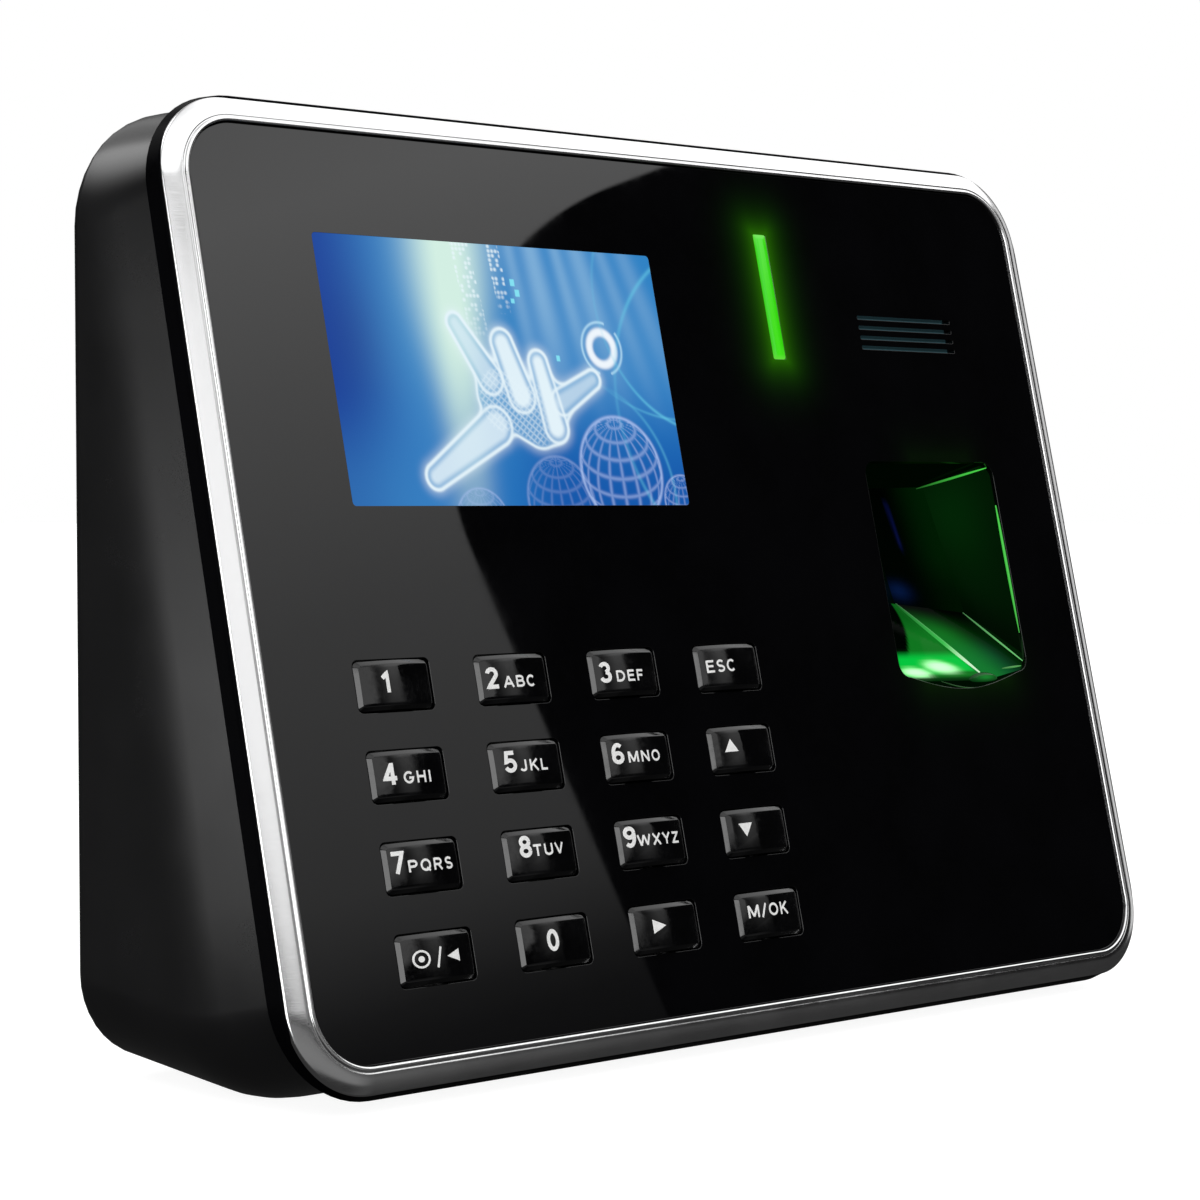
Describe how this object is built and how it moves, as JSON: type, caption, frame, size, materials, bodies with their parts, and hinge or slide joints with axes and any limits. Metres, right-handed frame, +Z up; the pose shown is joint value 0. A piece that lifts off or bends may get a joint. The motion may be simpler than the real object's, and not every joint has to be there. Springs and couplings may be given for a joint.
{
  "type": "fingerprint scanner terminal",
  "caption": "Wall-mounted access and attendance terminal with a fingerprint reader, colour display, keypad, indicator light and rear connector bay.",
  "frame": {"origin": "centre of the wall plate's rear face, at mid height of the body", "axes": "+X to the right as seen from the front, +Y back into the wall, +Z up; the keypad and display face -Y and lean back"},
  "size_m": [0.182, 0.0501, 0.1359],
  "materials": {
    "shell_plastic": "fine-textured satin black",
    "bezel_plastic": "polished black",
    "trim_metal": "satin bright",
    "panel_gloss": "polished deep black",
    "window_clear": "clear",
    "screen": "lit colour display",
    "holder_metal": "plain",
    "light_guide": "lit green",
    "circuit_board": "solder mask",
    "speaker_plastic": "plain",
    "foam_rubber": "soft",
    "mat_rubber": "soft",
    "reader_plastic": "polished black",
    "prism_glass": "polished optical",
    "inner_plastic": "plain",
    "battery_wrap": "shrink wrap",
    "socket_metal": "plated",
    "terminal_plastic": "plain",
    "button_plastic": "plain",
    "plate_steel": "zinc-coated",
    "screw_steel": "plain",
    "key_plastic": "polished black"
  },
  "bodies": {
    "terminal": {"backup_battery": "battery_wrap", "board_screw_1": "screw_steel", "board_screw_2": "screw_steel", "board_screw_3": "screw_steel", "board_screw_4": "screw_steel", "display_cell": "screen", "display_holder": "holder_metal", "display_window": "window_clear", "front_housing": "bezel_plastic", "front_panel": "panel_gloss", "housing_screw_1": "screw_steel", "housing_screw_2": "screw_steel", "housing_screw_3": "screw_steel", "housing_screw_4": "screw_steel", "key_board": "circuit_board", "key_mat": "mat_rubber", "light_bar": "light_guide", "light_board": "circuit_board", "lock_screw": "screw_steel", "main_board": "circuit_board", "network_socket": "socket_metal", "power_socket": "inner_plastic", "reader_board": "circuit_board", "reader_carrier": "inner_plastic", "reader_light": "light_guide", "reader_prism": "prism_glass", "reader_well": "reader_plastic", "rear_housing": "shell_plastic", "speaker": "speaker_plastic", "speaker_gasket": "foam_rubber", "tamper_switch": "inner_plastic", "trim_ring": "trim_metal", "usb_board": "circuit_board", "usb_socket": "socket_metal", "wall_plate": "plate_steel", "wire_terminal": "terminal_plastic"},
    "key_01": {"key_01": "key_plastic"},
    "key_02": {"key_02": "key_plastic"},
    "key_03": {"key_03": "key_plastic"},
    "key_04": {"key_04": "key_plastic"},
    "key_05": {"key_05": "key_plastic"},
    "key_06": {"key_06": "key_plastic"},
    "key_07": {"key_07": "key_plastic"},
    "key_08": {"key_08": "key_plastic"},
    "key_09": {"key_09": "key_plastic"},
    "key_10": {"key_10": "key_plastic"},
    "key_11": {"key_11": "key_plastic"},
    "key_12": {"key_12": "key_plastic"},
    "key_13": {"key_13": "key_plastic"},
    "key_14": {"key_14": "key_plastic"},
    "key_15": {"key_15": "key_plastic"},
    "key_16": {"key_16": "key_plastic"},
    "reset_button": {"reset_button": "button_plastic"},
    "tamper_plunger": {"tamper_plunger": "inner_plastic"}
  },
  "joints": [
    {"name": "key_01_press", "type": "slide", "parent": "terminal", "child": "key_01", "axis": [0, 0.9726, -0.2326], "range_m": [0, 0.0008], "stiffness_N_per_m": 300, "springref_m": -0.0004},
    {"name": "key_02_press", "type": "slide", "parent": "terminal", "child": "key_02", "axis": [0, 0.9726, -0.2326], "range_m": [0, 0.0008], "stiffness_N_per_m": 300, "springref_m": -0.0004},
    {"name": "key_03_press", "type": "slide", "parent": "terminal", "child": "key_03", "axis": [0, 0.9726, -0.2326], "range_m": [0, 0.0008], "stiffness_N_per_m": 300, "springref_m": -0.0004},
    {"name": "key_04_press", "type": "slide", "parent": "terminal", "child": "key_04", "axis": [0, 0.9726, -0.2326], "range_m": [0, 0.0008], "stiffness_N_per_m": 300, "springref_m": -0.0004},
    {"name": "key_05_press", "type": "slide", "parent": "terminal", "child": "key_05", "axis": [0, 0.9726, -0.2326], "range_m": [0, 0.0008], "stiffness_N_per_m": 300, "springref_m": -0.0004},
    {"name": "key_06_press", "type": "slide", "parent": "terminal", "child": "key_06", "axis": [0, 0.9726, -0.2326], "range_m": [0, 0.0008], "stiffness_N_per_m": 300, "springref_m": -0.0004},
    {"name": "key_07_press", "type": "slide", "parent": "terminal", "child": "key_07", "axis": [0, 0.9726, -0.2326], "range_m": [0, 0.0008], "stiffness_N_per_m": 300, "springref_m": -0.0004},
    {"name": "key_08_press", "type": "slide", "parent": "terminal", "child": "key_08", "axis": [0, 0.9726, -0.2326], "range_m": [0, 0.0008], "stiffness_N_per_m": 300, "springref_m": -0.0004},
    {"name": "key_09_press", "type": "slide", "parent": "terminal", "child": "key_09", "axis": [0, 0.9726, -0.2326], "range_m": [0, 0.0008], "stiffness_N_per_m": 300, "springref_m": -0.0004},
    {"name": "key_10_press", "type": "slide", "parent": "terminal", "child": "key_10", "axis": [0, 0.9726, -0.2326], "range_m": [0, 0.0008], "stiffness_N_per_m": 300, "springref_m": -0.0004},
    {"name": "key_11_press", "type": "slide", "parent": "terminal", "child": "key_11", "axis": [0, 0.9726, -0.2326], "range_m": [0, 0.0008], "stiffness_N_per_m": 300, "springref_m": -0.0004},
    {"name": "key_12_press", "type": "slide", "parent": "terminal", "child": "key_12", "axis": [0, 0.9726, -0.2326], "range_m": [0, 0.0008], "stiffness_N_per_m": 300, "springref_m": -0.0004},
    {"name": "key_13_press", "type": "slide", "parent": "terminal", "child": "key_13", "axis": [0, 0.9726, -0.2326], "range_m": [0, 0.0008], "stiffness_N_per_m": 300, "springref_m": -0.0004},
    {"name": "key_14_press", "type": "slide", "parent": "terminal", "child": "key_14", "axis": [0, 0.9726, -0.2326], "range_m": [0, 0.0008], "stiffness_N_per_m": 300, "springref_m": -0.0004},
    {"name": "key_15_press", "type": "slide", "parent": "terminal", "child": "key_15", "axis": [0, 0.9726, -0.2326], "range_m": [0, 0.0008], "stiffness_N_per_m": 300, "springref_m": -0.0004},
    {"name": "key_16_press", "type": "slide", "parent": "terminal", "child": "key_16", "axis": [0, 0.9726, -0.2326], "range_m": [0, 0.0008], "stiffness_N_per_m": 300, "springref_m": -0.0004},
    {"name": "tamper_press", "type": "slide", "parent": "terminal", "child": "tamper_plunger", "axis": [0, -1, 0], "range_m": [0, 0.0012], "stiffness_N_per_m": 200, "springref_m": -0.0008},
    {"name": "reset_press", "type": "slide", "parent": "terminal", "child": "reset_button", "axis": [0, -1, 0], "range_m": [0, 0.0006], "stiffness_N_per_m": 300, "springref_m": -0.0004}
  ]
}
